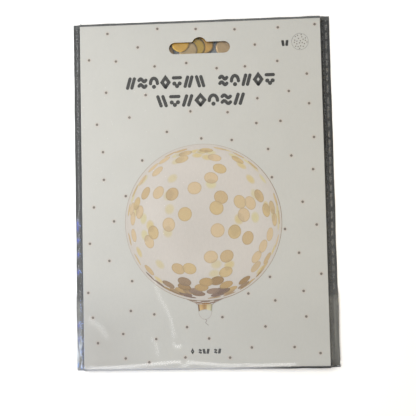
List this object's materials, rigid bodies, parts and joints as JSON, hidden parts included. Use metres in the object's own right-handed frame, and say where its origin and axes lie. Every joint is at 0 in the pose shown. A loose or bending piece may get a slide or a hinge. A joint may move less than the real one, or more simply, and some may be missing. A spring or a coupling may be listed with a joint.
{
  "type": "packaged confetti balloon",
  "caption": "Flat hang pack: a folded clear balloon with gold foil confetti behind a printed card with a hang slot, in a clear film bag.",
  "frame": {"origin": "middle of the underside of the pack as it lies on its back", "axes": "+X across the card to its right edge, +Y up the card to the hang slot, +Z out of the printed face"},
  "size_m": [0.136, 0.1822, 0.0046],
  "materials": {
    "clear_film": "clear glossy film",
    "adhesive": "clear adhesive strip",
    "printed_board": "coated board, printed",
    "balloon_film": "clear soft film",
    "gold_foil": "gold foil, satin"
  },
  "bodies": {
    "root": {"bag": "clear_film", "flap_tape": "adhesive", "card": "printed_board", "balloon": "balloon_film", "confetti_01": "gold_foil", "confetti_02": "gold_foil", "confetti_03": "gold_foil", "confetti_04": "gold_foil", "confetti_05": "gold_foil", "confetti_06": "gold_foil", "confetti_07": "gold_foil", "confetti_08": "gold_foil", "confetti_09": "gold_foil", "confetti_10": "gold_foil", "confetti_11": "gold_foil", "confetti_12": "gold_foil", "confetti_13": "gold_foil", "confetti_14": "gold_foil", "confetti_15": "gold_foil", "confetti_16": "gold_foil", "confetti_17": "gold_foil", "confetti_18": "gold_foil", "confetti_19": "gold_foil", "confetti_20": "gold_foil", "confetti_21": "gold_foil", "confetti_22": "gold_foil", "confetti_23": "gold_foil", "confetti_24": "gold_foil", "confetti_25": "gold_foil", "confetti_26": "gold_foil", "confetti_27": "gold_foil", "confetti_28": "gold_foil", "confetti_29": "gold_foil", "confetti_30": "gold_foil", "confetti_31": "gold_foil", "confetti_32": "gold_foil", "confetti_33": "gold_foil", "confetti_34": "gold_foil", "confetti_35": "gold_foil", "confetti_36": "gold_foil", "confetti_37": "gold_foil", "confetti_38": "gold_foil", "confetti_39": "gold_foil", "confetti_40": "gold_foil", "confetti_41": "gold_foil", "confetti_42": "gold_foil"}
  },
  "joints": []
}
